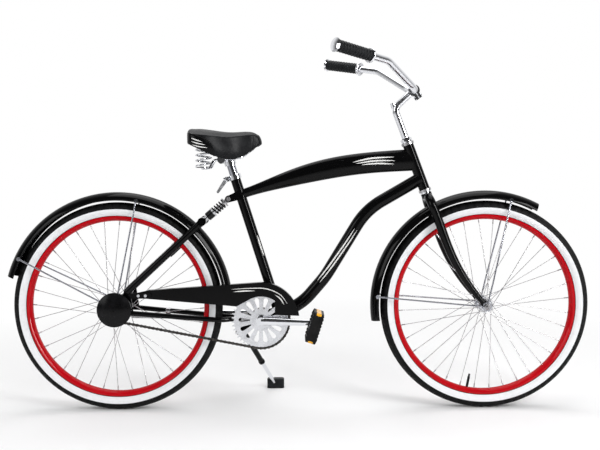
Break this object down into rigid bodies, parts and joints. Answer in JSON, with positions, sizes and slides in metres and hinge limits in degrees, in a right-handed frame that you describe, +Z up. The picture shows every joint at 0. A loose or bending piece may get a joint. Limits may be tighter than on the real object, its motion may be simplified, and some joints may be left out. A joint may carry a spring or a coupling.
{
  "type": "bicycle",
  "caption": "Beach cruiser bicycle with a bowed frame, sprung rear swingarm, coaster hub, full fenders, chain guard, swept handlebar, sprung saddle and kickstand.",
  "frame": {"origin": "middle of the bounding box on the ground", "axes": "+X forward, +Y to the rider's left, +Z up; the bicycle leans to its left on the kickstand"},
  "size_m": [1.8379, 0.6336, 1.1444],
  "materials": {
    "black_paint": "gloss",
    "chrome": "polished",
    "hub_chrome": "polished",
    "steel": "satin",
    "ring_silver": "satin",
    "alloy": "satin",
    "red_paint": "gloss",
    "tyre": "matte",
    "rubber": "matte",
    "black_plastic": "matte",
    "gloss_plastic": "gloss",
    "vinyl": "satin"
  },
  "bodies": {
    "frame": {"head_tube": "black_paint", "top_tube": "black_paint", "down_tube": "black_paint", "seat_tube": "black_paint", "bottom_bracket_shell": "black_paint", "shock_bracket": "black_paint", "headset_bearings": "steel", "crank_bearings": "steel", "pivot_bolts": "steel", "seat_clamp": "chrome"},
    "seat_lever": {"seat_clamp_lever": "chrome"},
    "post": {"seatpost": "chrome", "saddle_clamp": "chrome", "saddle_rails": "chrome"},
    "saddle": {"saddle_pan": "black_plastic", "saddle_cover": "vinyl", "saddle_springs": "chrome"},
    "fork": {"fork_crown": "black_paint", "fork_blades": "black_paint", "headset_nuts": "chrome", "stem": "chrome", "stem_bolts": "chrome", "handlebar": "chrome", "grips": "rubber", "grip_fittings": "chrome", "front_fender": "black_paint", "front_fender_stays": "chrome", "front_axle": "steel"},
    "front_wheel": {"front_tyre": "tyre", "front_rim": "red_paint", "front_spokes": "steel", "front_hub": "hub_chrome", "front_inner_tube": "rubber"},
    "swingarm": {"chainstays": "black_paint", "seatstays": "black_paint", "rear_axle": "steel", "brake_arm": "steel", "rear_fender": "black_paint", "rear_fender_stays": "chrome", "chain_guard": "black_paint", "guard_screws": "chrome", "chain": "steel", "axle_cover": "gloss_plastic"},
    "rear_wheel": {"rear_tyre": "tyre", "rear_rim": "red_paint", "rear_spokes": "steel", "rear_hub": "hub_chrome", "rear_inner_tube": "rubber"},
    "sprocket": {"rear_sprocket": "steel"},
    "damper": {"shock_body": "alloy", "shock_spring": "black_paint"},
    "damper_rod": {"shock_rod": "steel"},
    "crank_set": {"crank": "chrome", "chainring": "ring_silver", "pedal_axles": "steel"},
    "pedal_right": {"right_pedal": "black_plastic"},
    "pedal_left": {"left_pedal": "black_plastic"},
    "stand": {"kickstand_leg": "black_paint", "kickstand_lower_leg": "chrome", "kickstand_foot": "rubber"}
  },
  "joints": [
    {"name": "steering", "type": "hinge", "parent": "frame", "child": "fork", "pos_m": [0.39849, -0.01446, 0.6966], "axis": [-0.3518, 0.0327, 0.9355], "range_deg": [-75, 75]},
    {"name": "front_wheel_spin", "type": "hinge", "parent": "fork", "child": "front_wheel", "pos_m": [0.58899, -0.02727, 0.32982], "axis": [0, 0.9994, -0.0349], "continuous": true},
    {"name": "suspension", "type": "hinge", "parent": "frame", "child": "swingarm", "pos_m": [-0.16817, -0.02866, 0.28984], "axis": [0, 0.9994, -0.0349], "range_deg": [0, 3.2], "stiffness_Nm_per_rad": 14000, "springref_deg": -1.15, "deforming": ["shock_spring"]},
    {"name": "rear_wheel_spin", "type": "hinge", "parent": "swingarm", "child": "rear_wheel", "pos_m": [-0.57101, -0.02727, 0.32982], "axis": [0, 0.9994, -0.0349], "continuous": true},
    {"name": "crank_turn", "type": "hinge", "parent": "frame", "child": "crank_set", "pos_m": [-0.11818, -0.02866, 0.28984], "axis": [0, 0.9994, -0.0349], "range_deg": [-20, 235], "deforming": ["chain"]},
    {"name": "sprocket_turn", "type": "hinge", "parent": "swingarm", "child": "sprocket", "pos_m": [-0.57101, -0.02727, 0.32982], "axis": [0, 0.9994, -0.0349], "range_deg": [-50, 525]},
    {"name": "right_pedal_spin", "type": "hinge", "parent": "crank_set", "child": "pedal_right", "pos_m": [0.04677, -0.02882, 0.28553], "axis": [0, 0.9994, -0.0349], "continuous": true},
    {"name": "left_pedal_spin", "type": "hinge", "parent": "crank_set", "child": "pedal_left", "pos_m": [-0.28312, -0.02851, 0.29416], "axis": [0, 0.9994, -0.0349], "continuous": true},
    {"name": "rod_pivot", "type": "hinge", "parent": "frame", "child": "damper_rod", "pos_m": [-0.21898, -0.01544, 0.66861], "axis": [0, 0.9994, -0.0349], "range_deg": [-3.95, 0]},
    {"name": "damper_pivot", "type": "hinge", "parent": "swingarm", "child": "damper", "pos_m": [-0.29982, -0.01783, 0.6001], "axis": [0, 0.9994, -0.0349], "range_deg": [-7.15, 0]},
    {"name": "stand_fold", "type": "hinge", "parent": "frame", "child": "stand", "pos_m": [-0.18898, 0.01013, 0.25447], "axis": [0.0288, 0.7887, 0.6141], "range_deg": [0, 93.4]},
    {"name": "post_height", "type": "slide", "parent": "frame", "child": "post", "axis": [-0.3007, 0.0333, 0.9531], "range_m": [-0.03, 0.09]},
    {"name": "saddle_rock", "type": "hinge", "parent": "post", "child": "saddle", "pos_m": [-0.14101, -0.00954, 0.83753], "axis": [0, -0.9994, 0.0349], "range_deg": [0, 4], "stiffness_Nm_per_rad": 750, "springref_deg": -1.72, "deforming": ["saddle_springs"]},
    {"name": "lever_open", "type": "hinge", "parent": "frame", "child": "seat_lever", "pos_m": [-0.22606, -0.02882, 0.72947], "axis": [-0.829, 0.0195, 0.5589], "range_deg": [0, 120]}
  ],
  "couplings": [
    {"joint": "sprocket_turn", "follows": "crank_turn", "ratio": 2.2},
    {"joint": "rod_pivot", "follows": "suspension", "ratio": -1.1718},
    {"joint": "damper_pivot", "follows": "suspension", "ratio": -2.1718}
  ]
}
